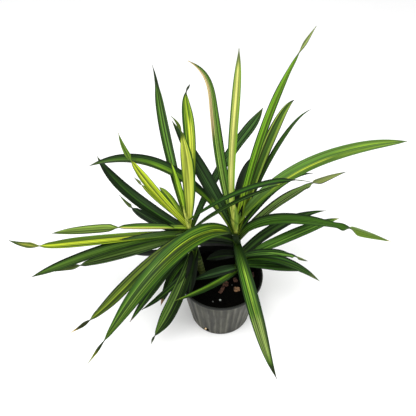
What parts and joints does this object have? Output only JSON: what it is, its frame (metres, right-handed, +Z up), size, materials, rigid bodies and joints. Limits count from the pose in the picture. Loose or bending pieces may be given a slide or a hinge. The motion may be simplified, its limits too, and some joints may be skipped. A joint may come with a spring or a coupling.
{
  "type": "potted dracaena",
  "caption": "Potted dracaena with arching green leaves striped in lime and cream, on leaning canes in a grey fluted nursery pot of dark soil.",
  "frame": {"origin": "middle of the pot's underside, on the ground", "axes": "+Z up out of the soil, +X to the right of the picture, +Y away from the viewer"},
  "size_m": [0.7036, 0.4856, 0.555],
  "materials": {
    "pot_plastic": "matt, faintly glossy moulded plastic",
    "soil": "loose, dark, matt potting mix",
    "cane_skin": "satin green cane",
    "leaf_skin": "satin waxy leaf",
    "bark": "rough matt bark",
    "perlite": "rough matt mineral"
  },
  "bodies": {
    "root": {"pot": "pot_plastic", "soil": "soil", "stem_right": "cane_skin", "stem_left": "cane_skin", "crown_right": "leaf_skin", "crown_left": "leaf_skin", "bark_chip_1": "bark", "bark_chip_2": "bark", "bark_chip_3": "bark", "bark_chip_4": "bark", "bark_chip_5": "bark", "perlite_1": "perlite", "perlite_2": "perlite", "perlite_3": "perlite", "perlite_4": "perlite"}
  },
  "joints": []
}
